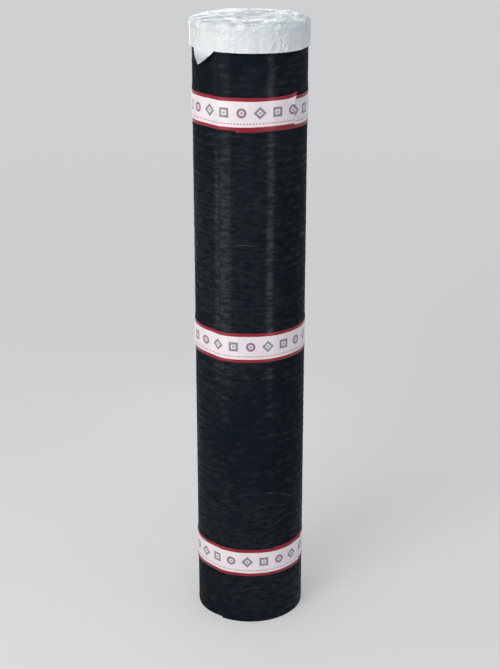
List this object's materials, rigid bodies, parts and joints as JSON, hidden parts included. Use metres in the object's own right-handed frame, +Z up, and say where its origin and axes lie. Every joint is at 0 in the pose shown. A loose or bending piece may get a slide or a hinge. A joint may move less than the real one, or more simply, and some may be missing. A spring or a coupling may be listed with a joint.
{
  "type": "roll of roofing felt",
  "caption": "Black film-faced roofing felt wound in a tight roll round an open bore, standing on end, with printed packing tapes round it and a clear film gathered over the top.",
  "frame": {"origin": "middle of the bore at the foot of the roll, on the surface that it stands on", "axes": "+Z up along the roll's axis, -Y towards the side that the picture shows, with the lap's free edge to the left of it"},
  "size_m": [0.182, 0.182, 1.0034],
  "materials": {
    "felt": "black bitumen under a thin semi-gloss film, finely wrinkled across the sheet",
    "tape": "glossy white packing tape with dark crimson edges and small printed marks",
    "film": "thin crinkled polythene, milky white where it is gathered"
  },
  "bodies": {
    "root": {"felt_roll": "felt", "tape_bottom": "tape", "tape_middle": "tape", "tape_top": "tape", "end_film": "film"}
  },
  "joints": []
}
